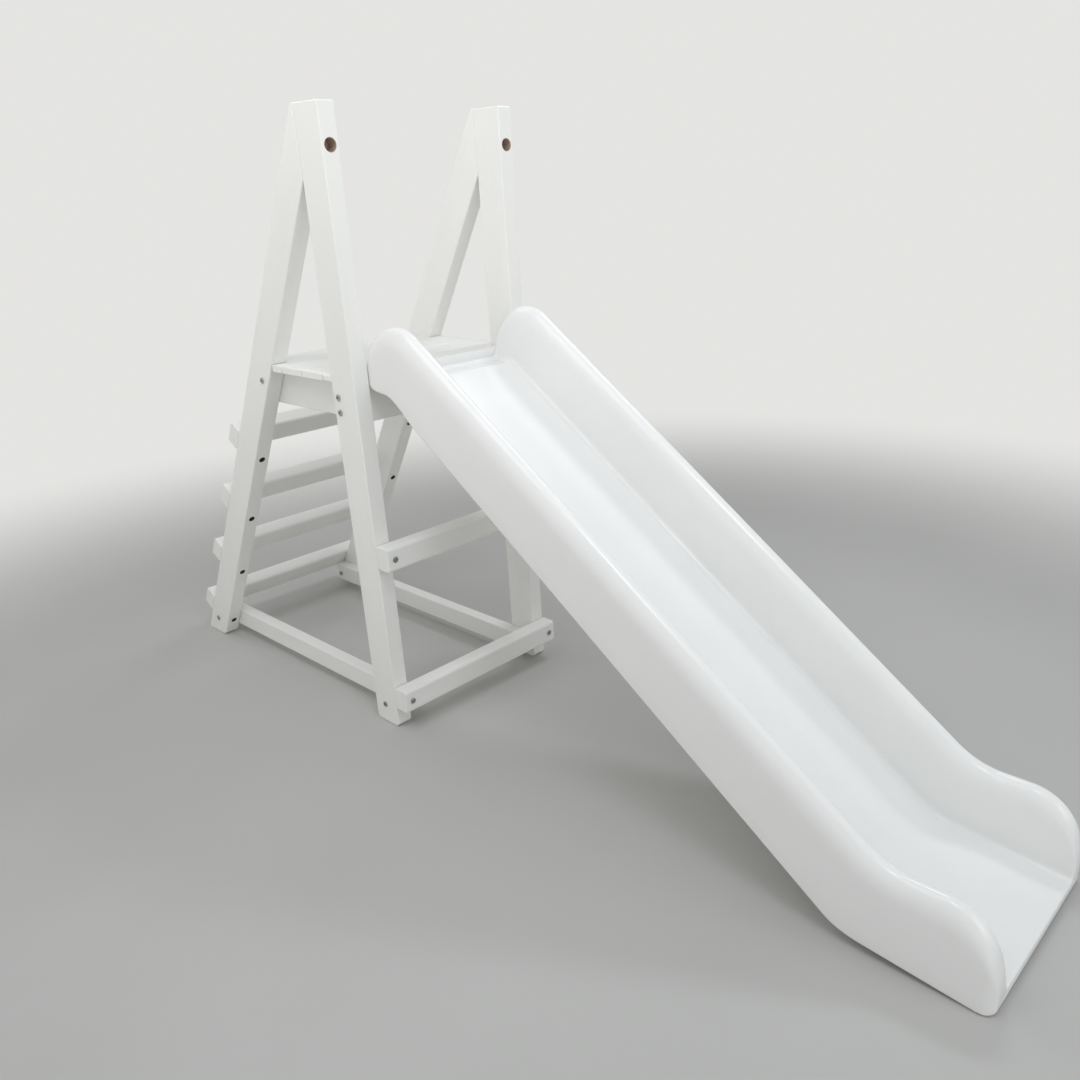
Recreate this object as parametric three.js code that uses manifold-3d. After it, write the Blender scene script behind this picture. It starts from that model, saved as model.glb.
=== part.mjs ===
// Toddler slide: a painted timber A-frame with a ladder at the back, a slatted platform, and one
// moulded chute that hangs between the two front posts.
//
// Millimetres. +X points down the chute to its exit, +Y to the left of a child who looks down the
// chute, and +Z up. In the outlines below x = 0 is the front face of the posts and y = 0 is the
// middle plane. The whole group is moved at the end, so that its origin is on the floor at the
// middle of the object's outline.
import * as THREE from 'three';
import { mergeVertices } from 'three/addons/utils/BufferGeometryUtils.js';
import Module from 'manifold-3d';

const wasm = await Module();
wasm.setup();

// ---- driving dimensions ----

const gap = 0.3; // left between pieces that touch

const frameWidth = 537;
const frameHeight = 1460;
const post = { depth: 88, width: 42 };
const leg = { depth: 87, lean: THREE.MathUtils.degToRad(31.5), topOverhang: 11 };
const footChamfer = 8;
const timberEdge = 2.5; // rounding of the long edges of every timber
const outerFace = frameWidth / 2;
const innerFace = outerFace - post.width;

const rung = { count: 4, lowest: 97.7, pitch: 192.2, height: 63, thickness: 43, rounding: 7 };
const platform = { top: 900, slat: 17, front: -15, rear: -443, slatGap: 3 };
const slatPitch = 87;
const frontSlatWidth = 107;
const slatEdge = { front: 4, others: 1.5 }; // rounding of the slats' edges
const apron = { thickness: 35, height: 90 };
const bottomRail = { top: 83, height: 55, thickness: 35, endCut: 15, frontInset: 4, rearInset: 3 };
const frontRail = { heights: { mid: 472, low: 86 }, height: 62, depth: 45, rounding: 9 };

const bolt = { radius: 3.9, head: 7.5, headHeight: 2.6, socket: 2.6, socketDepth: 1.8 };
const nut = { radius: 7.2, thickness: 5 };
const boltEnd = 2; // how far a bolt stands out of its nut
const grip = { top: 40, frontRail: 60, rung: 30 }; // how far a bolt without a nut goes into its last piece
const boltSides = 10;
const holeSides = 8;
const boreSides = 14;
const topBore = { height: 1376, radius: 14, depth: 32 };
const rungBore = { radius: 8.5, depth: 12 };
// The bolts through the sides of the frame: [x, z], and the upright and the rail that they join.
const sideBolts = {
  platform_bolt_rear: { at: [-396, 856], joins: ['rear_leg', 'platform_rail'] },
  platform_bolt_upper: { at: [-67, 851], joins: ['front_post', 'platform_rail'] },
  platform_bolt_lower: { at: [-67, 816], joins: ['front_post', 'platform_rail'] },
  bottom_bolt_rear: { at: [-916, 52], joins: ['rear_leg', 'bottom_rail'] },
  bottom_bolt_front: { at: [-46, 53], joins: ['front_post', 'bottom_rail'] },
};

const chute = {
  width: 450, // over both walls
  crestHalf: 25, // half the thickness of a wall
  crown: { inner: 45, outer: 55 }, // how far down from the crest each side of a wall is rounded
  fillet: 15, // between the bed and a wall
  wallDraft: 4, // how far the inner side of a wall leans over its height
  skin: 4,
  rim: 6, // chamfer along the lower edge
  rear: platform.front + 0.6,
  exit: 1509,
  cornerRear: 12, // rounding of the walls' ends, seen from above
  cornerExit: 22,
  lobe: 99, // radius of the rounded upper end of each wall
  exitLobe: 100,
};
const chuteFlange = {
  halfWidth: 140, thickness: 10, bottom: 815, top: 880, boltSpread: 100, boltHeight: 845 };
const drain = { radius: 5, x: 641, spread: 100, bottom: 425, top: 450 }; // holes through the underside

const colours = {
  paint: { color: 0xf1f1ee, roughness: 0.45, metalness: 0 },
  plastic: { color: 0xf4f5f3, roughness: 0.25, metalness: 0 },
  steel: { color: 0x9a9c9e, roughness: 0.3, metalness: 1 },
};

// ---- solids and cuts ----

// A closed geometry as a solid that can be joined and cut.
function solid(geometry) {
  geometry.deleteAttribute('normal');
  geometry.deleteAttribute('uv');
  const merged = mergeVertices(geometry, 1e-4);
  return new wasm.Manifold(new wasm.Mesh({
    numProp: 3,
    vertProperties: new Float32Array(merged.attributes.position.array),
    triVerts: new Uint32Array(merged.index.array),
  }));
}

function geometryOf(manifold) {
  const mesh = manifold.getMesh();
  const geometry = new THREE.BufferGeometry();
  geometry.setAttribute('position', new THREE.BufferAttribute(mesh.vertProperties, 3));
  geometry.setIndex(new THREE.BufferAttribute(mesh.triVerts, 1));
  geometry.computeVertexNormals();
  return geometry;
}

// A cylinder from one point to another. Its flats, not its corners, are at the radius.
function rod(from, to, radius, sides = holeSides) {
  const along = to.clone().sub(from);
  const corner = radius / Math.cos(Math.PI / sides);
  const geometry = new THREE.CylinderGeometry(corner, corner, along.length(), sides);
  const turn = new THREE.Quaternion();
  turn.setFromUnitVectors(new THREE.Vector3(0, 1, 0), along.clone().normalize());
  geometry.applyQuaternion(turn);
  geometry.translate(...from.clone().add(to).multiplyScalar(0.5).toArray());
  return solid(geometry);
}

// ---- timber ----

function polygon(points) {
  return new THREE.Shape(points.map(([x, y]) => new THREE.Vector2(x, y)));
}

// A rectangle with rounded corners, turned about its centre.
function roundedBar(centre, width, height, rounding, turn = 0) {
  const corners = [[-1, -1], [1, -1], [1, 1], [-1, 1]];
  const shape = new THREE.Shape();
  corners.forEach(([sx, sy], quarter) => {
    const x = sx * (width / 2 - rounding);
    const y = sy * (height / 2 - rounding);
    const start = turn + Math.PI + quarter * Math.PI / 2;
    const cx = centre[0] + x * Math.cos(turn) - y * Math.sin(turn);
    const cy = centre[1] + x * Math.sin(turn) + y * Math.cos(turn);
    shape.absarc(cx, cy, rounding, start, start + Math.PI / 2, false);
  });
  return shape;
}

function extrude(shape, thickness, edge) {
  const geometry = new THREE.ExtrudeGeometry(shape, {
    depth: thickness - 2 * edge,
    bevelEnabled: true,
    bevelThickness: edge,
    bevelSize: edge,
    bevelOffset: -edge,
    bevelSegments: 1,
    curveSegments: 2,
  });
  geometry.translate(0, 0, edge);
  return geometry;
}

// An outline in the x-z plane, made thick along y.
function sideBoard(shape, yLow, yHigh, edge = timberEdge) {
  const geometry = extrude(shape, yHigh - yLow, edge);
  geometry.rotateX(Math.PI / 2);
  geometry.translate(0, yHigh, 0);
  return geometry;
}

// An outline in the x-y plane, made thick along z.
function flatBoard(shape, zLow, zHigh, edge = timberEdge) {
  const geometry = extrude(shape, zHigh - zLow, edge);
  geometry.translate(0, 0, zLow);
  return geometry;
}

// ---- the A-frame ----

const legRun = leg.depth / Math.cos(leg.lean); // a leg's depth, measured level
const legSlope = Math.tan(leg.lean);

function legBack(z) {
  return -post.depth - leg.topOverhang - legSlope * (frameHeight - z);
}

function legFront(z) {
  return legBack(z) + legRun;
}

function postOutline() {
  return polygon([
    [-post.depth + footChamfer, 0], [-footChamfer, 0], [0, footChamfer],
    [0, frameHeight], [-post.depth, frameHeight], [-post.depth, footChamfer],
  ]);
}

// The leg is cut upright at its top, where it butts against the back of the post.
function legOutline() {
  const butt = -post.depth - gap;
  const crotch = frameHeight - (legFront(frameHeight) - butt) / legSlope;
  return polygon([
    [legBack(0) + footChamfer, 0], [legFront(0) - footChamfer, 0],
    [legFront(footChamfer), footChamfer], [butt, crotch], [butt, frameHeight],
    [legBack(frameHeight), frameHeight], [legBack(footChamfer), footChamfer],
  ]);
}

function rungHeight(i) {
  return rung.lowest + i * rung.pitch;
}

// Rungs lie flat on the back faces of the two leaning legs.
function rungOutline(i) {
  const z = rungHeight(i);
  const out = rung.thickness / 2 + gap;
  const centre = [legBack(z) - out * Math.cos(leg.lean), z + out * Math.sin(leg.lean)];
  return roundedBar(centre, rung.thickness, rung.height, rung.rounding, -leg.lean);
}

// ---- the platform ----

// A slat that is as wide as the frame between notchFront and notchRear, and narrow beyond them.
function slatOutline(rear, front, notchRear, notchFront) {
  const full = outerFace;
  const narrow = innerFace - gap;
  const wideFrom = Math.max(rear, notchRear);
  const wideTo = Math.min(front, notchFront);
  if (wideFrom >= wideTo) {
    return polygon([[rear, -narrow], [front, -narrow], [front, narrow], [rear, narrow]]);
  }
  const half = [[rear, wideFrom > rear ? narrow : full]];
  if (wideFrom > rear) {
    half.push([wideFrom, narrow], [wideFrom, full]);
  }
  if (wideTo < front) {
    half.push([wideTo, full], [wideTo, narrow]);
  }
  half.push([front, wideTo < front ? narrow : full]);
  const mirrored = half.map(([x, y]) => [x, -y]);
  return polygon([...mirrored, ...half.reverse()]);
}

function slatSpans() {
  const spans = [{ rear: platform.front - frontSlatWidth, front: platform.front }];
  while (spans.at(-1).rear - slatPitch > platform.rear) {
    const front = spans.at(-1).rear - platform.slatGap;
    spans.push({ rear: front - slatPitch + platform.slatGap, front });
  }
  spans.push({ rear: platform.rear, front: spans.at(-1).rear - platform.slatGap });
  return spans;
}

const sideRailTop = platform.top - platform.slat - gap;
const sideRailBottom = sideRailTop - apron.height;

function sideRailOutline() {
  const front = platform.front - apron.thickness - gap;
  return polygon([
    [platform.rear, sideRailBottom], [front, sideRailBottom],
    [front, sideRailTop], [platform.rear, sideRailTop],
  ]);
}

function apronOutline() {
  const back = platform.front - apron.thickness;
  return polygon([
    [back, sideRailBottom], [platform.front, sideRailBottom],
    [platform.front, sideRailTop], [back, sideRailTop],
  ]);
}

function bottomRailOutline() {
  const low = bottomRail.top - bottomRail.height;
  const rear = legBack(bottomRail.top) + bottomRail.rearInset;
  const front = -bottomRail.frontInset;
  return polygon([
    [rear + bottomRail.endCut, low], [front, low], [front, bottomRail.top],
    [rear, bottomRail.top], [rear, low + bottomRail.endCut],
  ]);
}

function frontRailOutline(height) {
  const centre = [gap + frontRail.depth / 2, height];
  return roundedBar(centre, frontRail.depth, frontRail.height, frontRail.rounding);
}

// ---- the moulded chute ----

function line(from, to) {
  return new THREE.LineCurve(new THREE.Vector2(...from), new THREE.Vector2(...to));
}

function bend(from, corner, to) {
  const points = [from, corner, to].map((p) => new THREE.Vector2(...p));
  return new THREE.QuadraticBezierCurve(...points);
}

function arc(centre, radius, fromDegrees, toDegrees) {
  const [from, to] = [fromDegrees, toDegrees].map(THREE.MathUtils.degToRad);
  return new THREE.EllipseCurve(...centre, radius, radius, from, to, true);
}

// The side view, span by span from the platform to the exit: the crest of the walls, the sliding
// bed, and the lower edge. Every span has as many steps on all three lines.
function chuteSpans() {
  const { rear, exit, lobe, exitLobe } = chute;
  const slope = 35; // of the crest and the bed, in degrees
  const bedRear = 877;
  const lobeCentre = [rear + lobe + 2, 912];
  const exitCentre = [exit - exitLobe - 8, exitLobe - 14];
  const radians = THREE.MathUtils.degToRad(90 - slope);
  const shoulder = [
    lobeCentre[0] + lobe * Math.cos(radians), lobeCentre[1] + lobe * Math.sin(radians)];
  const fall = (from, x) => [x, from[1] - Math.tan(THREE.MathUtils.degToRad(slope)) * (x - from[0])];
  const crestTop = exitCentre[1] + exitLobe;
  const crestEnd = [exitCentre[0], crestTop];
  const bedTop = [59, 873];
  const bedEnd = [1393, 38];
  const bedValley = [1226, 53];
  const crestValley = [shoulder[0] + (shoulder[1] - crestTop) / Math.tan(
    THREE.MathUtils.degToRad(slope)), crestTop];
  const crestFall = fall(shoulder, crestValley[0] - 45);
  const bedFall = fall(bedTop, bedValley[0] - 48);
  return [
    { steps: 8, crest: arc(lobeCentre, lobe, 180, 90 - slope),
      bed: line([rear, bedRear], [44, bedRear]),
      skirt: line([rear, 868], [50, 860]) },
    { steps: 3, crest: line(shoulder, fall(shoulder, 215)),
      bed: bend([44, bedRear], [54, bedRear - 0.5], fall(bedTop, 130)),
      skirt: bend([50, 860], [74, 857], [126, 805]) },
    { steps: 2, crest: line(fall(shoulder, 215), crestFall),
      bed: line(fall(bedTop, 130), bedFall),
      skirt: line([126, 805], [1196, 42]) },
    { steps: 4, crest: bend(crestFall, crestValley, [crestValley[0] + 50, crestTop]),
      bed: bend(bedFall, bedValley, [1281, 48]),
      skirt: bend([1196, 42], [1223, 22.7], [1271, 18.4]) },
    { steps: 1, crest: line([crestValley[0] + 50, crestTop], crestEnd),
      bed: line([1281, 48], bedEnd),
      skirt: line([1271, 18.4], [1391, 7.5]) },
    { steps: 7, crest: arc(exitCentre, exitLobe, 90, 0),
      bed: line(bedEnd, [exit - 9, 29]),
      skirt: line([1391, 7.5], [1478, 0]) },
    { steps: 2, crest: bend([exit - 8, 86], [exit, 60], [exit, 38]),
      bed: bend([exit - 9, 29], [exit - 1, 28], [exit, 25]),
      skirt: bend([1478, 0], [exit - 9, 0], [exit, 6]) },
  ];
}

// One closed section of the chute, or of the hollow inside it when inset is the skin.
// It runs from the middle of the bed over the left wall, under the chute and over the right wall.
function chuteRing(crest, bed, skirt, inset) {
  const height = crest.distanceTo(bed);
  const up = crest.clone().sub(bed).normalize();
  const outerUp = crest.clone().sub(skirt).normalize();
  const overBed = (lift) => bed.clone().addScaledVector(up, lift);
  const overSkirt = (lift) => skirt.clone().addScaledVector(outerUp, lift + inset);
  const outer = chute.width / 2;
  const middle = outer - chute.crestHalf;
  const inner = outer - 2 * chute.crestHalf - chute.wallDraft;
  const fillet = Math.min(chute.fillet, height * 0.3);
  const half = [[0, overBed(-inset)]];
  const filletSteps = 3;
  for (let i = 0; i <= filletSteps; i += 1) {
    const angle = i / filletSteps * Math.PI / 2;
    const radius = fillet + inset;
    half.push([inner - fillet + radius * Math.sin(angle),
      overBed(fillet - radius * Math.cos(angle))]);
  }
  const crownSteps = 8;
  for (let i = 0; i <= crownSteps; i += 1) {
    const angle = i / crownSteps * Math.PI;
    const side = angle < Math.PI / 2 ? 'inner' : 'outer';
    const crown = Math.min(chute.crown[side], height * 0.5);
    half.push([middle - (chute.crestHalf - inset) * Math.cos(angle),
      overBed(height - crown + (crown - inset) * Math.sin(angle))]);
  }
  half.push([outer - inset, overSkirt(chute.rim)], [outer - chute.rim - inset, overSkirt(0)]);
  const mirrored = half.slice(1).reverse().map(([y, p]) => [-y, p]);
  return [...half, [0, overSkirt(0)], ...mirrored].map(([y, p]) => (
    new THREE.Vector3(p.x, Math.sign(y) * roundedInPlan(Math.abs(y), p.x, middle), p.y)));
}

// Draws the outer side of a wall in towards its middle at the two ends of the chute.
function roundedInPlan(y, x, middle) {
  const drawnIn = (radius, distance) => {
    const into = THREE.MathUtils.clamp(radius - distance, 0, radius);
    return radius - Math.sqrt(radius ** 2 - into ** 2);
  };
  const pull = drawnIn(chute.cornerExit, chute.exit - x) + drawnIn(chute.cornerRear, x - chute.rear);
  return y <= middle ? y : middle + (y - middle) * (1 - pull / chute.crestHalf);
}

// Triangles that close one end of a loft. side is -1 at its first ring and 1 at its last.
function endCap(ring, firstIndex, side) {
  const contour = ring.map((p) => new THREE.Vector2(p.y, p.z));
  return THREE.ShapeUtils.triangulateShape(contour, []).flatMap(([a, b, c]) => {
    const area = contour[b].clone().sub(contour[a]).cross(contour[c].clone().sub(contour[a]));
    const face = area * side > 0 ? [a, b, c] : [a, c, b];
    return face.map((i) => i + firstIndex);
  });
}

function loft(rings) {
  const count = rings[0].length;
  const index = [];
  for (let i = 0; i + 1 < rings.length; i += 1) {
    for (let j = 0; j < count; j += 1) {
      const next = (j + 1) % count;
      const [a, b] = [i * count + j, (i + 1) * count + j];
      const [c, d] = [(i + 1) * count + next, i * count + next];
      index.push(a, b, c, a, c, d);
    }
  }
  index.push(...endCap(rings[0], 0, -1));
  index.push(...endCap(rings.at(-1), (rings.length - 1) * count, 1));
  const geometry = new THREE.BufferGeometry();
  geometry.setAttribute('position', new THREE.Float32BufferAttribute(
    rings.flat().flatMap((p) => p.toArray()), 3));
  geometry.setIndex(index);
  return geometry;
}

function chuteRings(inset) {
  const rings = [];
  chuteSpans().forEach(({ steps, crest, bed, skirt }, spanIndex) => {
    for (let i = spanIndex === 0 ? 0 : 1; i <= steps; i += 1) {
      const t = i / steps;
      rings.push(chuteRing(crest.getPoint(t), bed.getPoint(t), skirt.getPoint(t), inset));
    }
  });
  rings[0].forEach((p) => { p.x += inset; });
  rings.at(-1).forEach((p) => { p.x -= inset; });
  return rings;
}

// A hollow moulding: a skin all round, a solid bolting flange behind, and two small drain holes
// underneath that open the hollow.
function chuteSolid() {
  const flange = new THREE.BoxGeometry(
    chuteFlange.thickness, 2 * chuteFlange.halfWidth, chuteFlange.top - chuteFlange.bottom);
  flange.translate(
    chute.rear + chuteFlange.thickness / 2, 0, (chuteFlange.top + chuteFlange.bottom) / 2);
  let body = solid(loft(chuteRings(0))).subtract(solid(loft(chuteRings(chute.skin))));
  body = body.add(solid(flange));
  for (const y of [-drain.spread, drain.spread]) {
    body = body.subtract(rod(new THREE.Vector3(drain.x, y, drain.bottom),
      new THREE.Vector3(drain.x, y, drain.top), drain.radius));
  }
  return body;
}

// ---- fasteners ----

// A bolt is placed where the underside of its head bears, with its head pointing out. pieces are
// the pieces that it passes through. sunk is the depth of the bore that its head sits in.
const bolts = [];
const X = new THREE.Vector3(1, 0, 0);
const Y = new THREE.Vector3(0, 1, 0);

function addBolt(name, x, y, z, out, length, pieces, options = {}) {
  bolts.push({ name, seat: new THREE.Vector3(x, y, z), out, length, pieces, sunk: 0, ...options });
}

for (const [side, sign] of [['right', -1], ['left', 1]]) {
  const outward = Y.clone().multiplyScalar(sign);
  const postMiddle = sign * (outerFace - post.width / 2);
  const throughLength = post.width + apron.thickness + gap + nut.thickness + boltEnd;
  addBolt(`${side}_top_bolt`, -topBore.depth, postMiddle, topBore.height, X,
    post.depth - topBore.depth + grip.top, [`${side}_front_post`, `${side}_rear_leg`],
    { sunk: topBore.depth, bore: topBore.radius });
  for (const [name, { at: [x, z], joins }] of Object.entries(sideBolts)) {
    addBolt(`${side}_${name}`, x, sign * outerFace, z, outward, throughLength,
      joins.map((piece) => `${side}_${piece}`), { nutted: true });
  }
  for (const [level, height] of Object.entries(frontRail.heights)) {
    addBolt(`${side}_${level}_rail_bolt`, gap + frontRail.depth, postMiddle, height, X,
      frontRail.depth + grip.frontRail, [`${level}_front_rail`, `${side}_front_post`]);
  }
  const legNormal = new THREE.Vector3(Math.cos(leg.lean), 0, -Math.sin(leg.lean));
  for (let i = 0; i < rung.count; i += 1) {
    const inside = leg.depth - rungBore.depth;
    const z = rungHeight(i) - inside * Math.sin(leg.lean);
    const x = legBack(rungHeight(i)) + inside * Math.cos(leg.lean);
    addBolt(`${side}_rung_screw_${i + 1}`, x, postMiddle, z, legNormal, inside + grip.rung,
      [`${side}_rear_leg`, `rung_${i + 1}`], { sunk: rungBore.depth, bore: rungBore.radius });
  }
  const apronBack = platform.front - apron.thickness;
  addBolt(`${side}_chute_bolt`, apronBack, sign * chuteFlange.boltSpread,
    chuteFlange.boltHeight, X.clone().negate(),
    chute.rear + chuteFlange.thickness - apronBack + nut.thickness + boltEnd,
    ['platform_apron', 'slide_chute'], { nutted: true });
}

// Drills every bolt's hole in a piece, with a wider bore over a sunk head.
function drilled(name, body) {
  return bolts.filter(({ pieces }) => pieces.includes(name)).reduce((rest, b) => {
    const tip = b.seat.clone().addScaledVector(b.out, -b.length - 2);
    const mouth = b.seat.clone().addScaledVector(b.out, b.sunk + 4);
    let cut = rest.subtract(rod(mouth, tip, bolt.radius + 0.4));
    if (b.sunk > 0 && name === b.pieces[0]) {
      cut = cut.subtract(rod(mouth, b.seat, b.bore, boreSides));
    }
    return cut;
  }, body);
}

// Along +z, with the underside of the head just above z = 0 and the shank below it.
function boltGeometry(length) {
  const top = gap + bolt.headHeight;
  const profile = [
    [0, -length], [bolt.radius - 1, -length], [bolt.radius, -length + 1], [bolt.radius, gap],
    [bolt.head, gap], [bolt.head, top - 0.8], [bolt.head - 1, top], [0, top],
  ].map((p) => new THREE.Vector2(...p));
  const body = solid(new THREE.LatheGeometry(profile, boltSides).rotateX(Math.PI / 2));
  const socket = new THREE.CylinderGeometry(
    bolt.socket, bolt.socket, 2 * bolt.socketDepth, 6).rotateX(Math.PI / 2);
  socket.translate(0, 0, top);
  return geometryOf(body.subtract(solid(socket)));
}

// A hexagon nut that stands just off the face z = 0, round the end of a bolt.
function nutGeometry() {
  const blank = new THREE.CylinderGeometry(nut.radius, nut.radius, nut.thickness, 6);
  blank.rotateX(Math.PI / 2);
  blank.translate(0, 0, gap + nut.thickness / 2);
  const hole = rod(
    new THREE.Vector3(0, 0, -1), new THREE.Vector3(0, 0, nut.thickness + 2), bolt.radius + 0.3);
  return geometryOf(solid(blank).subtract(hole));
}

// ---- assembly ----

const toddlerSlide = new THREE.Group();

function addMesh(name, geometry, finish, parent = toddlerSlide) {
  const mesh = new THREE.Mesh(geometry, new THREE.MeshStandardMaterial(colours[finish]));
  mesh.name = name;
  parent.add(mesh);
  return mesh;
}

function addTimber(name, geometry) {
  addMesh(name, geometryOf(drilled(name, solid(geometry))), 'paint');
}

for (const [side, sign] of [['right', -1], ['left', 1]]) {
  const span = (a, b) => [sign * a, sign * b].sort((p, q) => p - q);
  const frameSpan = span(innerFace, outerFace);
  const railSpan = (thickness) => span(innerFace - gap - thickness, innerFace - gap);
  addTimber(`${side}_front_post`, sideBoard(postOutline(), ...frameSpan));
  addTimber(`${side}_rear_leg`, sideBoard(legOutline(), ...frameSpan));
  addTimber(`${side}_platform_rail`, sideBoard(sideRailOutline(), ...railSpan(apron.thickness)));
  addTimber(`${side}_bottom_rail`,
    sideBoard(bottomRailOutline(), ...railSpan(bottomRail.thickness)));
}

for (let i = 0; i < rung.count; i += 1) {
  addTimber(`rung_${i + 1}`, sideBoard(rungOutline(i), -outerFace, outerFace));
}
for (const [level, height] of Object.entries(frontRail.heights)) {
  addTimber(`${level}_front_rail`, sideBoard(frontRailOutline(height), -outerFace, outerFace));
}
addTimber('platform_apron', sideBoard(apronOutline(), -innerFace + gap, innerFace - gap));

const notchRear = legFront(platform.top) + 2 * gap;
const notchFront = -post.depth - gap;
slatSpans().forEach(({ rear, front }, i) => {
  const shape = slatOutline(rear, front, notchRear, notchFront);
  const edge = i === 0 ? slatEdge.front : slatEdge.others;
  addTimber(`platform_slat_${i + 1}`,
    flatBoard(shape, platform.top - platform.slat, platform.top, edge));
});

addMesh('slide_chute', geometryOf(drilled('slide_chute', chuteSolid())), 'plastic');

for (const { name, seat, out, length, nutted } of bolts) {
  const mesh = addMesh(name, boltGeometry(length), 'steel');
  mesh.position.copy(seat);
  mesh.quaternion.setFromUnitVectors(new THREE.Vector3(0, 0, 1), out);
  if (nutted) {
    const nutMesh = addMesh(name.replace('bolt', 'nut'), nutGeometry(), 'steel');
    nutMesh.position.copy(seat).addScaledVector(out, -(length - boltEnd - nut.thickness));
    nutMesh.quaternion.setFromUnitVectors(new THREE.Vector3(0, 0, 1), out.clone().negate());
  }
}

const middleX = (legBack(footChamfer) + chute.exit) / 2;
toddlerSlide.position.set(-middleX, 0, 0);

export default toddlerSlide;
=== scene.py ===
"""Looks of the toddler slide: painted timber A-frame, moulded chute, zinc-plated fasteners.

Everything is in metres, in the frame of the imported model. mm() turns millimetres into metres. The
sizes of the chute's sections stay in millimetres until the sections are placed."""
import math

import bmesh
import bpy
from mathutils import Matrix, Vector


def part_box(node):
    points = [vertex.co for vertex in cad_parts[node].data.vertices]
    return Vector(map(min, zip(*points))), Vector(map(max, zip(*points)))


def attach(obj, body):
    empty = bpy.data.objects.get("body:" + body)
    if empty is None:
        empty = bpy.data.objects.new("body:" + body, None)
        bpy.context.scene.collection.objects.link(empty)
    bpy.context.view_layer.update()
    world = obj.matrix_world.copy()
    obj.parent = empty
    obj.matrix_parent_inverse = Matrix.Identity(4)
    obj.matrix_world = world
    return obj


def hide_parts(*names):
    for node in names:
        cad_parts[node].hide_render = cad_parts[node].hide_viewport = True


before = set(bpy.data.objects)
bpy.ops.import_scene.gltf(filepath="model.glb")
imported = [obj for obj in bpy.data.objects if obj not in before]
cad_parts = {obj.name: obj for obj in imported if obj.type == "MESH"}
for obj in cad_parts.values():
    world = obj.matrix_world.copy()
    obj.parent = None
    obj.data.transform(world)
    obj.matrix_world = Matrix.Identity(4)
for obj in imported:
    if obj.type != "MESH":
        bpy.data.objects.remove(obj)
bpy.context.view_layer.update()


def mm(value):
    return value / 1000.0


# ---- places and sizes taken from the frame ----

def low(node):
    return Vector(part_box(node)[0])


def high(node):
    return Vector(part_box(node)[1])


def centre(node):
    return (low(node) + high(node)) / 2


# ---- driving dimensions ----

SIDES = {"right": -1, "left": 1}
ORIGIN = Vector((0, 0, 0))
X_AXIS, Y_AXIS, Z_AXIS = Vector((1, 0, 0)), Vector((0, 1, 0)), Vector((0, 0, 1))
FRONT_X = high("right_front_post").x  # the front faces of the posts
HALF_WIDTH = high("left_front_post").y
INNER_Y = low("left_front_post").y
GAP = mm(0.3)

LEAN = math.radians(31.5)  # of the rear legs, from upright
LEG_DEPTH = mm(87)
LEG_NORMAL = Vector((math.cos(LEAN), 0, -math.sin(LEAN)))  # out of a leg's front face
LEG_ALONG = Vector((math.sin(LEAN), 0, math.cos(LEAN)))  # up a leg
FOOT_CHAMFER = mm(8)  # at the lower corners of the posts and the legs
RAIL_CUT = mm(15)  # at the lower rear corner of a bottom side rail

EDGE = mm(3.0)  # rounding of a timber's edges
CROSSBAR_EDGE = mm(2.5)
FIRST_SLAT_EDGE = mm(4)
SLAT_EDGE = mm(2)
RUNG_THICKNESS = mm(43)
RUNG_WIDTH = mm(63)
RUNG_ROUNDING = mm(7)
FRONT_RAIL_ROUNDING = mm(9)
APRON = {"thickness": mm(35), "height": mm(90), "rounding": mm(3)}

RUNG_NODES = sorted(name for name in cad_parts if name.startswith("rung_"))
SLATS = sorted(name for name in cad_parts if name.startswith("platform_slat_"))
SLAT_TOP_Z = high(SLATS[0]).z
LEG_FOOT_BACK_X = low("right_rear_leg").x - math.tan(LEAN) * FOOT_CHAMFER
NOTCH_REAR_X = LEG_FOOT_BACK_X + math.tan(LEAN) * SLAT_TOP_Z + LEG_DEPTH / math.cos(LEAN) + 2 * GAP
NOTCH_FRONT_X = low("right_front_post").x - GAP

HEAD_HEIGHT = mm(2.6)
HEAD_RADIUS = mm(7.5)
SHANK_RADIUS = mm(3.9)
TOP_BORE = {"radius": mm(14), "depth": mm(32)}
RUNG_BORE = {"radius": mm(7.9), "depth": mm(12)}

CHUTE = {  # millimetres, with x from the posts' front faces
    "half_width": 225, "crest_half": 25, "crown_inner": 45, "crown_outer": 55,
    "fillet": 11, "draft": 4, "rim": 7, "rear_lip": 8, "bed_crown": 2.0, "rear": -14.4, "exit": 1509,
    "corner_rear": 12, "corner_exit": 22, "corner_foot": 30,
}
CHUTE_MIDDLE = CHUTE["half_width"] - CHUTE["crest_half"]  # the middle of a wall's crest
CHUTE_INNER = CHUTE["half_width"] - 2 * CHUTE["crest_half"] - CHUTE["draft"]
POCKET = {  # millimetres: the stiffening pockets under the bed
    "pitch": 150.0, "length": 96.0, "wall": 16.0, "first": 150.0, "last": 1200.0,
    "half_width": 150, "spine": 8, "depth": 7.0,
}
FLANGE = {"half_width": mm(140), "thickness": mm(10), "bottom": mm(815), "top": mm(874), "corner": mm(18)}
DRAIN = {"radius": mm(5), "depth": mm(25), "x": mm(641), "y": mm(100), "bottom": mm(425)}

PAINT = (0.87, 0.868, 0.84)
PAINT_TINT = (0.845, 0.845, 0.825)
PAINT_GRAIN = (0.79, 0.785, 0.75)
PLASTIC = (0.86, 0.86, 0.852)
PLASTIC_TINT = (0.842, 0.844, 0.838)
PLASTIC_RUBBED = (0.76, 0.77, 0.77)
PLASTIC_SCUFF = (0.42, 0.41, 0.39)

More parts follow.
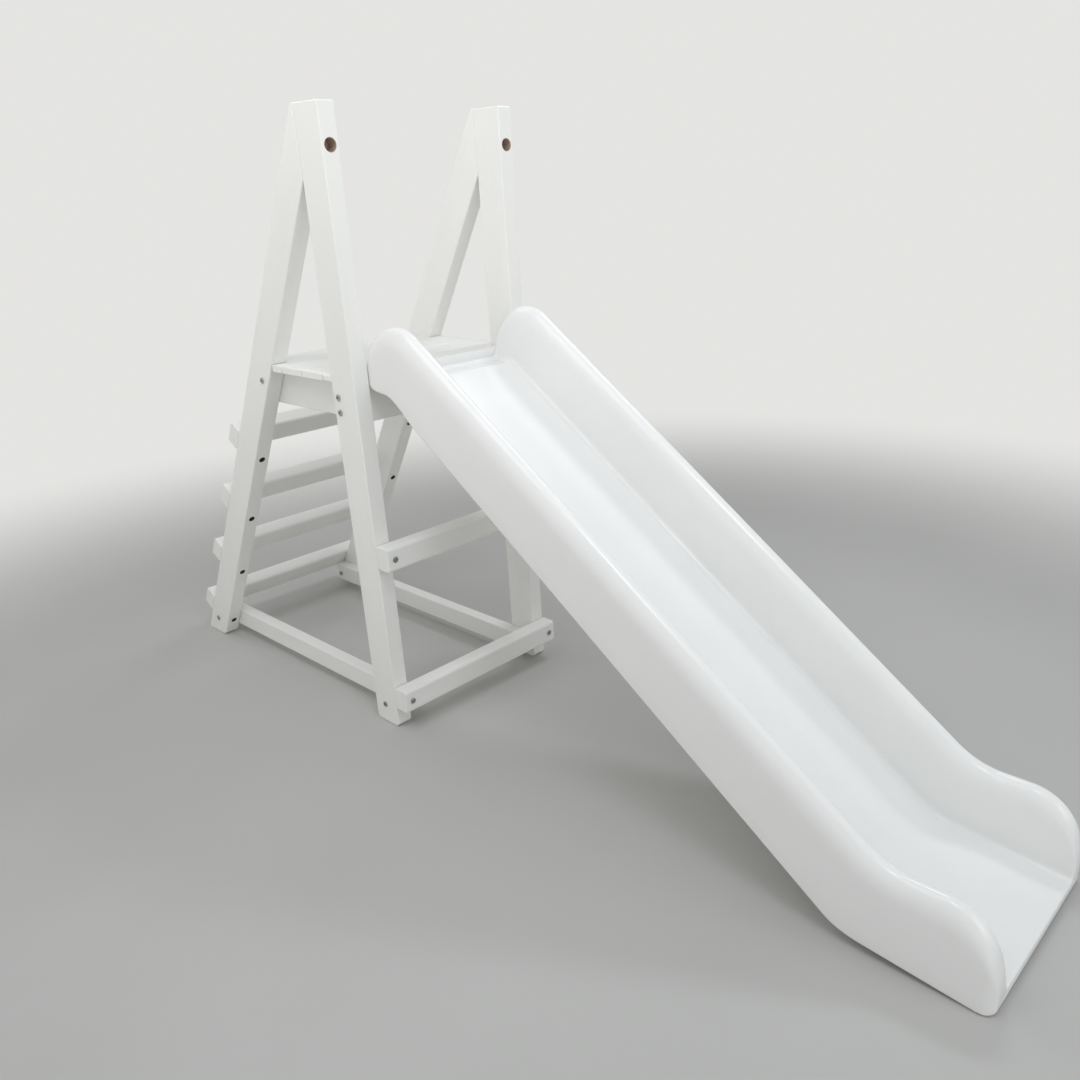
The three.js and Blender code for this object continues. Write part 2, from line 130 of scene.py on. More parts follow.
FLOOR = (0.52, 0.515, 0.50)
FLOOR_TINT = (0.50, 0.495, 0.48)
FLOOR_FADE = (1.6, 3.6)  # distances from the middle where the floor starts and ends turning to glow
BACKDROP = (1.0, 0.995, 0.975)
BACKDROP_STRENGTH = 0.78
GLOW_HEIGHT = (0.3, 0.7)  # upward part of a direction where the glow starts and ends fading out
COOL = (0.92, 0.965, 1.0)
WHITE = (1, 1, 1)
PANELS = {  # place, what it points at, size, watts, colour
    "front": ((4.2, -0.3, 2.4), (0, 0, 0.6), (3.0, 2.0), 38, COOL),
    "right": ((0.4, -4.2, 2.2), (0.2, 0, 0.6), (4.0, 2.0), 6, WHITE),
    "high_left": ((0.1, 1.4, 2.9), (0.5, 0, 0.5), (1.0, 0.35), 15, COOL),
    "high_front": ((1.25, -0.9, 3.0), (0.3, 0, 0.6), (0.8, 0.8), 12, COOL),
    "high_tower": ((-0.1, -1.4, 2.6), (-0.3, 0, 0.9), (1.2, 1.2), 11, WHITE),
    "high_rear": ((-2.2, -0.6, 3.0), (-0.5, 0, 0.9), (1.5, 1.5), 11, WHITE),
}
CAMERA = {
    "place": (1.5626, -1.4830, 1.2908), "pan": 132.53, "tilt": -22.64, "roll": -2.18,
    "lens": 31.64, "shift_x": -0.0510, "shift_y": 0.0333,
}


# ---- small mesh tools ----

def new_object(name, mesh):
    piece = bpy.data.objects.new(name, mesh)
    bpy.context.scene.collection.objects.link(piece)
    return piece


def mesh_from(name, build):
    """A mesh filled by build(bm)."""
    bm = bmesh.new()
    build(bm)
    bmesh.ops.recalc_face_normals(bm, faces=bm.faces)
    mesh = bpy.data.meshes.new(name)
    bm.to_mesh(mesh)
    bm.free()
    return mesh


def bake_modifiers(piece):
    """Replaces a piece's mesh by what its modifiers make of it."""
    bpy.context.view_layer.update()
    depsgraph = bpy.context.evaluated_depsgraph_get()
    mesh = bpy.data.meshes.new_from_object(piece.evaluated_get(depsgraph))
    piece.modifiers.clear()
    piece.data = mesh


def boolean(piece, tool, operation):
    modifier = piece.modifiers.new("boolean", "BOOLEAN")
    modifier.operation = operation
    modifier.solver = "EXACT"
    modifier.object = tool
    bake_modifiers(piece)
    bpy.data.objects.remove(tool)


def add_revolved(bm, profile, origin, axis, segments, material=0):
    """A closed solid of revolution. profile is (radius, distance along axis), both ends at radius 0."""
    turn = axis.to_track_quat("Z", "Y").to_matrix()
    rings = []
    for radius, along in profile:
        if radius == 0:
            rings.append([bm.verts.new(origin + turn @ Vector((0, 0, along)))])
            continue
        rings.append([
            bm.verts.new(origin + turn @ Vector((
                radius * math.cos(2 * math.pi * i / segments),
                radius * math.sin(2 * math.pi * i / segments), along)))
            for i in range(segments)])
    for first, second in zip(rings, rings[1:]):
        for i in range(segments):
            j = (i + 1) % segments
            corners = [first[i % len(first)], first[j % len(first)],
                       second[j % len(second)], second[i % len(second)]]
            unique = list(dict.fromkeys(corners))
            bm.faces.new(unique).material_index = material


def smooth(mesh, sharp_degrees=35):
    """Smooth shading, broken where two faces meet at more than sharp_degrees."""
    mesh.polygons.foreach_set("use_smooth", [True] * len(mesh.polygons))
    mesh.set_sharp_from_angle(angle=math.radians(sharp_degrees))


def finish_piece(piece, node, materials):
    piece.data.materials.clear()
    for material in materials:
        piece.data.materials.append(material)
    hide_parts(node)
    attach(piece, "root")


# ---- procedural materials ----

class Shader:
    """Builds one node material."""

    def __init__(self, name):
        self.material = bpy.data.materials.new(name)
        self.material.use_nodes = True
        self.tree = self.material.node_tree
        self.tree.nodes.clear()
        self.output = self.tree.nodes.new("ShaderNodeOutputMaterial")
        self.principled = self.node("ShaderNodeBsdfPrincipled")
        self.link(self.principled, "BSDF", self.output, "Surface")

    def node(self, kind, inputs=None, **settings):
        node = self.tree.nodes.new(kind)
        for key, value in settings.items():
            setattr(node, key, value)
        for key, value in (inputs or {}).items():
            self.feed(node, key, value)
        return node

    def feed(self, node, key, value):
        if isinstance(value, bpy.types.NodeSocket):
            self.tree.links.new(value, node.inputs[key])
        else:
            node.inputs[key].default_value = value

    def link(self, source, out, target, key):
        self.tree.links.new(source.outputs[out], target.inputs[key])

    def set(self, **values):
        for key, value in values.items():
            self.feed(self.principled, key.replace("_", " "), value)

    def stretched(self, place, scale, rotation=(0, 0, 0)):
        return self.node("ShaderNodeMapping", {
            "Vector": place, "Scale": scale, "Rotation": rotation}).outputs[0]

    def object_place(self):
        return self.node("ShaderNodeTexCoord").outputs["Object"]

    def attribute(self, name, out="Fac"):
        return self.node("ShaderNodeAttribute", attribute_name=name).outputs[out]

    def noise(self, vector, scale, detail=3.0, roughness=0.5, distortion=0.0):
        return self.node("ShaderNodeTexNoise", {
            "Vector": vector, "Scale": scale, "Detail": detail,
            "Roughness": roughness, "Distortion": distortion}).outputs["Fac"]

    def remap(self, value, low, high, to_low, to_high):
        return self.node("ShaderNodeMapRange", {
            "Value": value, "From Min": low, "From Max": high,
            "To Min": to_low, "To Max": to_high}).outputs[0]

    def smooth_remap(self, value, low, high):
        """0 below low, 1 above high, with an eased step between."""
        limits = {"Value": value, "From Min": low, "From Max": high}
        return self.node("ShaderNodeMapRange", limits, interpolation_type="SMOOTHSTEP").outputs[0]

    def math(self, operation, a, b=0.0):
        return self.node("ShaderNodeMath", {0: a, 1: b}, operation=operation).outputs[0]

    def mix(self, factor, a, b):
        node = self.node("ShaderNodeMix", data_type="RGBA")
        for socket, value in zip((node.inputs[0], node.inputs[6], node.inputs[7]), (factor, a, b)):
            if isinstance(value, bpy.types.NodeSocket):
                self.tree.links.new(value, socket)
            else:
                socket.default_value = value
        return node.outputs[2]

    def bump(self, height, distance, strength=1.0, normal=None):
        inputs = {"Height": height, "Distance": distance, "Strength": strength}
        if normal:
            inputs["Normal"] = normal
        return self.node("ShaderNodeBump", inputs).outputs[0]


def rgb(value):
    return (*value, 1.0)


def painted_timber():
    """White satin paint on planed softwood, with the fibres along the grain attribute's first axis."""
    s = Shader("painted_timber")
    place = s.attribute("grain", "Vector")
    grain = s.noise(s.stretched(place, (3.0, 55.0, 55.0)), 4.0, 6.0, 0.6, 0.6)
    brush = s.noise(s.stretched(place, (6.0, 420.0, 420.0)), 2.0, 2.0, 0.5)
    stipple = s.noise(place, 900.0, 2.0, 0.5)
    cloud = s.noise(s.stretched(place, (1.0, 4.0, 4.0)), 3.0, 4.0, 0.55)
    tone = s.mix(s.remap(cloud, 0.35, 0.7, 0.0, 1.0), rgb(PAINT_TINT), rgb(PAINT))
    tone = s.mix(s.remap(grain, 0.55, 0.8, 0.0, 0.35), tone, rgb(PAINT_GRAIN))
    normal = s.bump(grain, mm(0.28), 0.5)
    normal = s.bump(brush, mm(0.05), 0.5, normal)
    normal = s.bump(stipple, mm(0.03), 0.4, normal)
    gloss = s.math("ADD", s.remap(cloud, 0.3, 0.7, 0.36, 0.48), s.remap(brush, 0.3, 0.7, -0.03, 0.03))
    s.set(Base_Color=tone, Roughness=gloss, Normal=normal, IOR=1.47)
    return s.material


def bare_timber():
    """Bare brown wood inside the bores."""
    s = Shader("bare_timber")
    place = s.attribute("grain", "Vector")
    rings = s.noise(s.stretched(place, (14.0, 160.0, 160.0)), 3.0, 5.0, 0.6, 0.4)
    tone = s.mix(s.remap(rings, 0.3, 0.7, 0.0, 1.0), rgb((0.33, 0.23, 0.18)), rgb((0.64, 0.52, 0.44)))
    s.set(Base_Color=tone, Roughness=0.75, Normal=s.bump(rings, mm(0.2), 0.6))
    return s.material


def bore_painted_shade():
    """Painted shade: a near-black colour inside the narrow bores over the rung screws, standing in for the
    shade deep in these recesses.
    """
    s = Shader("bore_painted_shade")
    mottle = s.noise(s.attribute("grain", "Vector"), 600.0, 3.0, 0.6)
    tone = s.mix(s.remap(mottle, 0.3, 0.7, 0.0, 1.0), rgb((0.02, 0.018, 0.015)), rgb((0.10, 0.09, 0.075)))
    s.set(Base_Color=tone, Roughness=0.7, Normal=s.bump(mottle, mm(0.1), 0.5))
    return s.material


def moulded_plastic():
    """White polyethylene: soft gloss, a faintly uneven moulded skin, fine rubbing marks on the bed."""
    s = Shader("moulded_plastic")
    plain = s.object_place()
    along_slope = s.stretched(plain, (2.2, 190.0, 2.2), rotation=(0, math.radians(-35), 0))
    bed = s.attribute("bed")
    swell = s.noise(plain, 5.0, 2.0, 0.4)
    peel = s.noise(plain, 420.0, 2.0, 0.5)
    rubbing = s.noise(along_slope, 3.0, 4.0, 0.65)
    blotch = s.noise(plain, 9.0, 5.0, 0.6)
    speck = s.noise(plain, 95.0, 2.0, 0.5)
    tone = s.mix(s.remap(blotch, 0.35, 0.7, 0.0, 1.0), rgb(PLASTIC), rgb(PLASTIC_TINT))
    marks = s.math("MULTIPLY", s.remap(rubbing, 0.6, 0.78, 0.0, 0.35), bed)
    tone = s.mix(marks, tone, rgb(PLASTIC_RUBBED))
    scuffs = s.math("MULTIPLY", s.remap(speck, 0.77, 0.83, 0.0, 1.0), s.remap(blotch, 0.5, 0.62, 0.0, 0.4))
    tone = s.mix(scuffs, tone, rgb(PLASTIC_SCUFF))
    normal = s.bump(swell, mm(2.2), 0.35)
    normal = s.bump(peel, mm(0.05), 0.35, normal)
    scratched = s.math("MULTIPLY", rubbing, bed)
    normal = s.bump(scratched, mm(0.05), 0.5, normal)
    gloss = s.math("ADD", s.remap(blotch, 0.3, 0.7, 0.15, 0.21), s.math("MULTIPLY", marks, 0.35))
    s.set(Base_Color=tone, Roughness=gloss, Normal=normal, IOR=1.5)
    s.set(Subsurface_Weight=0.12, Subsurface_Radius=(0.012, 0.011, 0.01), Subsurface_Scale=0.4)
    return s.material


def zinc_steel():
    s = Shader("zinc_steel")
    plain = s.object_place()
    cloud = s.noise(plain, 260.0, 4.0, 0.6)
    turned = s.noise(s.stretched(plain, (1.0, 1.0, 40.0)), 90.0, 2.0, 0.5)
    tone = s.mix(s.remap(cloud, 0.3, 0.7, 0.0, 1.0), rgb((0.24, 0.24, 0.24)), rgb((0.55, 0.55, 0.54)))
    s.set(Base_Color=tone, Metallic=1.0, Roughness=s.remap(cloud, 0.3, 0.7, 0.1, 0.22),
          Normal=s.bump(turned, mm(0.02), 0.4))
    return s.material


PAINTED = painted_timber()
BARE = bare_timber()
# near-black painted shade for the inside of the rung screws' bores
BORE_SHADE = bore_painted_shade()
MOULDED = moulded_plastic()
STEEL = zinc_steel()


# ---- fasteners: where they are, before the timbers are drilled ----

class Bolt:
    """A bolt whose head bears at seat and points along out."""

    def __init__(self, node, out, length, sunk=0.0, bore=0.0, nut=None):
        self.node = node
        self.out = out
        self.length = length
        self.sunk = sunk
        self.bore = bore
        self.nut = nut
        self.seat = self.find_seat()

    def find_seat(self):
        """Where the head bears. A rung screw's box is slanted with the leg, so its seat is worked out
        from the rung's middle. Any other bolt's head ends where the CAD bolt's box ends."""
        middle = centre(self.node)
        if self.out is not LEG_NORMAL:
            reach = abs((high(self.node) - low(self.node)).dot(self.out)) / 2
            return middle + self.out * (reach - GAP - HEAD_HEIGHT)
        rung = centre("rung_" + self.node.split("_")[-1])
        rung.y = middle.y
        return rung + self.out * (RUNG_THICKNESS / 2 + GAP + LEG_DEPTH - self.sunk)


BOLTS = []
DRILLED_BY = {}


def add_bolt(node, out, length, pieces, **options):
    bolt = Bolt(node, out, length, **options)
    BOLTS.append(bolt)
    for order, piece in enumerate(pieces):
        DRILLED_BY.setdefault(piece, []).append((bolt, order == 0))


def place_bolts():
    for side, sign in SIDES.items():
        post, leg = f"{side}_front_post", f"{side}_rear_leg"
        outward = Vector((0, sign, 0))
        add_bolt(f"{side}_top_bolt", X_AXIS, mm(96), [post, leg],
                 sunk=TOP_BORE["depth"], bore=TOP_BORE["radius"])
        for place in ("platform_bolt_rear", "platform_bolt_upper", "platform_bolt_lower",
                      "bottom_bolt_rear", "bottom_bolt_front"):
            upright = leg if place.endswith("rear") else post
            rail = f"{side}_{place.split('_')[0]}_rail"
            name = f"{side}_{place}"
            add_bolt(name, outward, mm(84.3), [upright, rail], nut=name.replace("bolt", "nut"))
        for level in ("mid", "low"):
            add_bolt(f"{side}_{level}_rail_bolt", X_AXIS, mm(105), [f"{level}_front_rail", post])
        for rung in RUNG_NODES:
            number = rung.split("_")[1]
            add_bolt(f"{side}_rung_screw_{number}", LEG_NORMAL, mm(105), [leg, rung],
                     sunk=RUNG_BORE["depth"], bore=RUNG_BORE["radius"])
        add_bolt(f"{side}_chute_bolt", -X_AXIS, mm(52.6), ["platform_apron", "slide_chute"],
                 nut=f"{side}_chute_nut")


def drill(piece, node):
    """Cuts the holes of every bolt that passes through this node's piece."""
    bolts = DRILLED_BY.get(node, [])
    if not bolts:
        return

    def build_holes(bm):
        for bolt, _ in bolts:
            shank = SHANK_RADIUS + mm(0.4)
            top = mm(4)
            hole = [(0, -bolt.length - mm(2)), (shank, -bolt.length - mm(2)), (shank, top), (0, top)]
            add_revolved(bm, hole, bolt.seat, bolt.out, 24, material=1)

    def build_bores(bm):
        for bolt, is_first in bolts:
            if bolt.sunk and is_first:
                face, r, flare = bolt.sunk, bolt.bore, bolt.bore + mm(0.9)
                bore = [(0, 0), (r, 0), (r, face - mm(0.7)), (flare, face + mm(0.2)),
                        (flare, face + mm(4)), (0, face + mm(4))]
                # the wide top bores are lined with bare wood, the narrow rung bores with near-black
                # painted shade
                lining = 1 if bolt.bore == TOP_BORE["radius"] else 2
                add_revolved(bm, bore, bolt.seat, bolt.out, 48, material=lining)

    for number, builder in enumerate((build_holes, build_bores)):
        mesh = mesh_from(f"{node}_cutter_{number}", builder)
        if not mesh.polygons:
            continue
        for material in (PAINTED, BARE, BORE_SHADE):
            mesh.materials.append(material)
        boolean(piece, new_object(mesh.name, mesh), "DIFFERENCE")


def bolt_mesh(length):
    """A low round head with a hexagon socket, a shank and a tapered tip, along +Z from its seat."""
    top = GAP + HEAD_HEIGHT
    r, shank, socket = HEAD_RADIUS, SHANK_RADIUS, mm(2.9)
    tip, pitch, thread_depth, crown = mm(2.5), mm(1.25), mm(0.45), mm(1.0)
    profile = [(0, -length), (shank * 0.55, -length), (shank, -length + tip)]
    thread_top = -length * 0.45
    for i in range(int((thread_top + length - tip) / pitch)):
        z = -length + tip + (i + 0.5) * pitch
        profile += [(shank - thread_depth, z), (shank, z + mm(0.6))]
    profile += [(shank, GAP), (r - mm(0.4), GAP), (r, GAP + mm(0.5)), (r, top - crown)]
    for i in range(1, 6):
        angle = i / 5 * math.pi / 2
        profile.append((r - crown + crown * math.cos(angle), top - crown + crown * math.sin(angle)))
    profile += [(socket + mm(1.0), top), (0, top)]

    def build(bm):
        add_revolved(bm, profile, ORIGIN, Z_AXIS, 40)

    def build_socket(bm):
        depth = mm(1.9)
        outline = [(0, top - depth - mm(0.4)), (socket, top - depth), (socket, top - mm(0.35)),
                   (socket + mm(0.4), top + mm(0.05)), (socket + mm(0.4), top + mm(2)), (0, top + mm(2))]
        add_revolved(bm, outline, ORIGIN, Z_AXIS, 6)

    piece = new_object("bolt_blank", mesh_from("bolt_blank", build))
    boolean(piece, new_object("bolt_socket", mesh_from("bolt_socket", build_socket)), "DIFFERENCE")
    mesh = piece.data
    bpy.data.objects.remove(piece)
    smooth(mesh, 30)
    return mesh


def nut_mesh():
    """A hexagon nut with chamfered corners and a plain hole with chamfered mouths, standing on z = 0."""
    across, chamfer = mm(7.2), mm(1.6)
    bottom, top = GAP, GAP + mm(5)
    flat = across * 0.90
    r = SHANK_RADIUS + mm(0.3)
    mouth = r + mm(0.9)
    body = [(0, bottom), (across, bottom), (across, top), (0, top)]
    cone = [(0, bottom - mm(1)), (flat - mm(1), bottom - mm(1)), (flat + mm(2), bottom + chamfer),
            (flat + mm(2), top - chamfer), (flat - mm(1), top + mm(1)), (0, top + mm(1))]
    hole = [(0, -mm(1)), (mouth, -mm(1)), (mouth, bottom), (r, bottom + mm(0.9)),
            (r, top - mm(0.9)), (mouth, top), (mouth, mm(7)), (0, mm(7))]

    def build(bm):
        add_revolved(bm, body, ORIGIN, Z_AXIS, 6)

    def build_chamfer(bm):
        add_revolved(bm, cone, ORIGIN, Z_AXIS, 48)

    def build_hole(bm):
        add_revolved(bm, hole, ORIGIN, Z_AXIS, 32)

    piece = new_object("nut_blank", mesh_from("nut_blank", build))
    boolean(piece, new_object("nut_chamfer", mesh_from("nut_chamfer", build_chamfer)), "INTERSECT")
    boolean(piece, new_object("nut_hole", mesh_from("nut_hole", build_hole)), "DIFFERENCE")
    mesh = piece.data
    bpy.data.objects.remove(piece)
    smooth(mesh, 30)
    return mesh


def make_fasteners():
    shared = {}
    nut = nut_mesh()
    for bolt in BOLTS:
        key = round(bolt.length, 5)
        if key not in shared:
            shared[key] = bolt_mesh(bolt.length)
        piece = new_object(f"{bolt.node}_piece", shared[key].copy())
        turn = bolt.out.to_track_quat("Z", "Y").to_matrix().to_4x4()
        piece.matrix_world = Matrix.Translation(bolt.seat) @ turn
        finish_piece(piece, bolt.node, [STEEL])
        if bolt.nut:
            middle = centre(bolt.nut)
            inward = -bolt.out
            stand = middle - inward * (GAP + mm(2.5))
            nut_piece = new_object(f"{bolt.nut}_piece", nut.copy())
            spin = inward.to_track_quat("Z", "Y").to_matrix().to_4x4()
            nut_piece.matrix_world = Matrix.Translation(stand) @ spin
            finish_piece(nut_piece, bolt.nut, [STEEL])


# ---- timbers ----

def rounded_section(width, height, radius, steps=6):
    """Points of a rectangle with rounded corners, round its own centre."""
    points = []
    for quarter, (sx, sy) in enumerate(((1, 1), (-1, 1), (-1, -1), (1, -1))):
        for i in range(steps + 1):
            angle = (quarter + i / steps) * math.pi / 2
            points.append((sx * (width / 2 - radius) + radius * math.cos(angle),
                           sy * (height / 2 - radius) + radius * math.sin(angle)))
    return points


def timber(node, outline, sweep, grain, face, edge=EDGE):
    """A board: outline (world points round one face), swept by a vector, with its edges rounded.
    grain is the direction of the fibres and face points out of the board's widest face."""
    def build(bm):
        base = bm.faces.new([bm.verts.new(p) for p in outline])
        swept = bmesh.ops.extrude_face_region(bm, geom=[base])["geom"]
        moved = [v for v in swept if isinstance(v, bmesh.types.BMVert)]
        bmesh.ops.translate(bm, verts=moved, vec=sweep)
        bmesh.ops.recalc_face_normals(bm, faces=bm.faces)
        sharp = [e for e in bm.edges if e.calc_face_angle(0) > math.radians(28)]
        bmesh.ops.bevel(bm, geom=sharp, offset=edge, segments=4, profile=0.5,
                        affect="EDGES", clamp_overlap=True)

    piece = new_object(f"{node}_piece", mesh_from(f"{node}_piece", build))
    for material in (PAINTED, BARE, BORE_SHADE):
        piece.data.materials.append(material)
    drill(piece, node)
    smooth(piece.data, 40)
    store_grain(piece.data, grain.normalized(), face, seed=sum(map(ord, node)) % 97)
    weighted = piece.modifiers.new("even_normals", "WEIGHTED_NORMAL")
    weighted.keep_sharp = True
    weighted.weight = 60
    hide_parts(node)
    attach(piece, "root")


def store_grain(mesh, along, face, seed):
    """Keeps each vertex's place in the board's own axes (along the grain, across, out of the face)
    for the timber materials, moved by seed so that no two boards look alike."""
    out = (face - along * face.dot(along)).normalized()
    across = out.cross(along)
    places = []
    for vert in mesh.vertices:
        places += [vert.co.dot(along) + seed, vert.co.dot(across) + seed, vert.co.dot(out)]
    mesh.attributes.new("grain", "FLOAT_VECTOR", "POINT").data.foreach_set("vector", places)


def in_plane(points, y):
    """World points from (x, z) pairs at one y."""
    return [Vector((x, y, z)) for x, z in points]


def make_post(side):
    node = f"{side}_front_post"
    a, b = low(node), high(node)
    chamfer = FOOT_CHAMFER
    outline = in_plane([(a.x + chamfer, 0), (b.x - chamfer, 0), (b.x, chamfer), (b.x, b.z),
                        (a.x, b.z), (a.x, chamfer)], a.y)
    timber(node, outline, Y_AXIS * (b.y - a.y), Z_AXIS, Y_AXIS * SIDES[side])


def make_leg(side):
    node = f"{side}_rear_leg"
    a, b = low(node), high(node)
    slope = math.tan(LEAN)
    run = LEG_DEPTH / math.cos(LEAN)
    chamfer = FOOT_CHAMFER
    foot = a.x - slope * chamfer  # where the back edge would meet the floor
    back = lambda z: foot + slope * z
    crotch = (b.x - foot - run) / slope
    outline = in_plane([(back(0) + chamfer, 0), (back(0) + run - chamfer, 0),
                        (back(chamfer) + run, chamfer), (b.x, crotch), (b.x, b.z),
                        (back(b.z), b.z), (back(chamfer), chamfer)], a.y)
    timber(node, outline, Y_AXIS * (b.y - a.y), LEG_ALONG, Y_AXIS * SIDES[side])


def make_crossbar(node, width, height, radius, turn=0.0):
    """A bar along y with a rounded section, turned about its centre in the x-z plane."""
    middle = centre(node)
    length = high(node).y - low(node).y
    outline = []
    for u, v in rounded_section(width, height, radius):
        outline.append(Vector((middle.x + u * math.cos(turn) - v * math.sin(turn), low(node).y,
                               middle.z + u * math.sin(turn) + v * math.cos(turn))))
    face = Vector((math.cos(turn), 0, math.sin(turn)))
    timber(node, outline, Y_AXIS * length, Y_AXIS, face, CROSSBAR_EDGE)


def make_rail(node, rear_cut=0.0):
    """A board along x, with a slanting cut at its lower rear corner."""
    a, b = low(node), high(node)
    points = [(a.x + rear_cut, a.z), (b.x, a.z), (b.x, b.z), (a.x, b.z)]
    if rear_cut:
        points.append((a.x, a.z + rear_cut))
    timber(node, in_plane(points, a.y), Y_AXIS * (b.y - a.y), X_AXIS, Y_AXIS)


def make_slat(node, edge):
    """A platform board along y, notched where it reaches round the legs or the posts."""
    a, b = low(node), high(node)
    inner = INNER_Y - GAP
    rear_notch = NOTCH_REAR_X if a.x < NOTCH_REAR_X else a.x
    front_notch = NOTCH_FRONT_X if b.x > NOTCH_FRONT_X else b.x
    if b.y < HALF_WIDTH - mm(1):
        half = [(a.x, b.y), (b.x, b.y)]
    else:
        half = [(rear_notch, HALF_WIDTH), (front_notch, HALF_WIDTH)]
        if rear_notch > a.x:
            half = [(a.x, inner), (rear_notch, inner)] + half
        if front_notch < b.x:
            half += [(front_notch, inner), (b.x, inner)]
    outline = [Vector((x, y, a.z)) for x, y in half]
    outline += [Vector((x, -y, a.z)) for x, y in reversed(half)]
    timber(node, outline, Z_AXIS * (b.z - a.z), Y_AXIS, Z_AXIS, edge)


def make_timbers():
    for side in SIDES:
        make_post(side)
        make_leg(side)
        make_rail(f"{side}_platform_rail")
        make_rail(f"{side}_bottom_rail", rear_cut=RAIL_CUT)
    for rung in RUNG_NODES:
        make_crossbar(rung, RUNG_THICKNESS, RUNG_WIDTH, RUNG_ROUNDING, -LEAN)
    for rail in ("mid_front_rail", "low_front_rail"):
        size = high(rail) - low(rail)
        make_crossbar(rail, size.x, size.z, FRONT_RAIL_ROUNDING)
    make_crossbar("platform_apron", APRON["thickness"], APRON["height"], APRON["rounding"])
    for slat in SLATS:
        make_slat(slat, FIRST_SLAT_EDGE if slat == SLATS[0] else SLAT_EDGE)


# ---- the moulded chute ----

def line(a, b):
    return lambda t: (a[0] + (b[0] - a[0]) * t, a[1] + (b[1] - a[1]) * t)


def bend(a, b, c):
    """A quadratic curve from a to c that leaves and arrives along the lines through b."""
    return lambda t: tuple(
        a[k] * (1 - t) ** 2 + 2 * b[k] * t * (1 - t) + c[k] * t ** 2 for k in (0, 1))


def arc(middle, radius, start, end):
    def point(t):
        angle = math.radians(start + (end - start) * t)
        return (middle[0] + radius * math.cos(angle), middle[1] + radius * math.sin(angle))
    return point


def chute_spans():
    """The side view in millimetres from the posts' front faces: crest, bed and lower edge of each
    span from the platform to the exit, with the number of sections in the span."""
    rear, tip = CHUTE["rear"], CHUTE["exit"]
    slope = 35
    fall = lambda start, x: (x, start[1] - math.tan(math.radians(slope)) * (x - start[0]))
    lobe, exit_lobe = 99, 100
    lobe_middle = (rear + lobe + 2, 912)
    exit_middle = (tip - exit_lobe - 8, exit_lobe - 14)
    up = math.radians(90 - slope)
    shoulder = (lobe_middle[0] + lobe * math.cos(up), lobe_middle[1] + lobe * math.sin(up))
    crest_top = exit_middle[1] + exit_lobe
    valley_x = shoulder[0] + (shoulder[1] - crest_top) / math.tan(math.radians(slope))
    crest_fall = fall(shoulder, valley_x - 45)
    bed_top, bed_end, bed_rear = (59, 873), (1393, 38), 877
    bed_valley = (1226, 53)
    bed_fall = fall(bed_top, bed_valley[0] - 48)
    nose = 17  # where the exit lobe's arc ends, in degrees, and a bend takes it down to the lip
    nose_start = arc(exit_middle, exit_lobe, nose, nose)(0)
    nose_corner = (tip, nose_start[1] - (tip - nose_start[0]) / math.tan(math.radians(nose)))
    under_rear, under_top, under_foot = (50, 860), (126, 805), (1196, 42)
    under_valley, under_end, heel = (1271, 18.4), (1391, 7.5), (1478, 0)
    bed_run_out, bed_lip, lip, sole = (1281, 48), (tip - 9, 29), (tip, 24), (tip, 9)
    bed_start, bed_crease, bed_slope = (49, bed_rear), (53.3, bed_rear), fall(bed_top, 130)
    crest_slope, crest_level = fall(shoulder, 215), (valley_x + 50, crest_top)
    return [
        (40, arc(lobe_middle, lobe, 180, 90 - slope), line((rear, bed_rear), bed_start),
         line((rear, 868), under_rear)),
        (18, line(shoulder, crest_slope), bend(bed_start, bed_crease, bed_slope),
         bend(under_rear, (74, 857), under_top)),
        (210, line(crest_slope, crest_fall), line(bed_slope, bed_fall), line(under_top, under_foot)),
        (18, bend(crest_fall, (valley_x, crest_top), crest_level),
         bend(bed_fall, bed_valley, bed_run_out), bend(under_foot, (1223, 22.7), under_valley)),
        (12, line(crest_level, (exit_middle[0], crest_top)), line(bed_run_out, bed_end),
         line(under_valley, under_end)),
        (36, arc(exit_middle, exit_lobe, 90, nose), line(bed_end, bed_lip), line(under_end, heel)),
        (16, bend(nose_start, nose_corner, (tip, 34)), bend(bed_lip, (tip - 1, 28), lip),
         bend(heel, (tip, 0), sole)),
    ]


def step(value, start, end):
    """A smooth step from 0 at start to 1 at end."""
    t = min(max((value - start) / (end - start), 0.0), 1.0)
    return t * t * (3 - 2 * t)


def underside_pocket(x, y):
    """Depth of the moulded stiffening pockets under the bed, in millimetres."""
    pitch, length, wall = POCKET["pitch"], POCKET["length"], POCKET["wall"]
    if x < POCKET["first"] or x > POCKET["last"]:
        return 0.0
    place = (x - POCKET["first"]) % pitch - pitch / 2
    along = 1 - step(abs(place), length / 2 - wall, length / 2)
    across = 1 - step(abs(y), POCKET["half_width"] - wall, POCKET["half_width"])
    spine = step(abs(y), POCKET["spine"], POCKET["spine"] + wall)
    return POCKET["depth"] * along * across * spine


def drawn_in(radius, distance):
    """How far a rounded corner lies inside the square one, at a distance from its end."""
    into = min(max(radius - distance, 0.0), radius)
    return radius - math.sqrt(radius ** 2 - into ** 2)


# A section point is (y, point in the side view, how much it belongs to the bed), in millimetres.

def bed_and_fillet(bed, up, height, bed_steps=14, fillet_steps=8):
    """From the middle of the bed to the foot of the left wall."""
    inner = CHUTE_INNER
    fillet = min(CHUTE["fillet"], height * 0.3)
    crowned = CHUTE["bed_crown"] * step(height, 40, 110)
    points = []
    for i in range(bed_steps):
        y = (inner - fillet) * i / bed_steps
        points.append((y, bed + up * crowned * (0.5 - (y / inner) ** 2), 1.0))
    for i in range(fillet_steps + 1):
        angle = i / fillet_steps * math.pi / 2
        lift = fillet - fillet * math.cos(angle) - crowned * 0.35 * math.cos(angle)
        points.append((inner - fillet + fillet * math.sin(angle), bed + up * lift, 1.0 - i / fillet_steps))
    return points


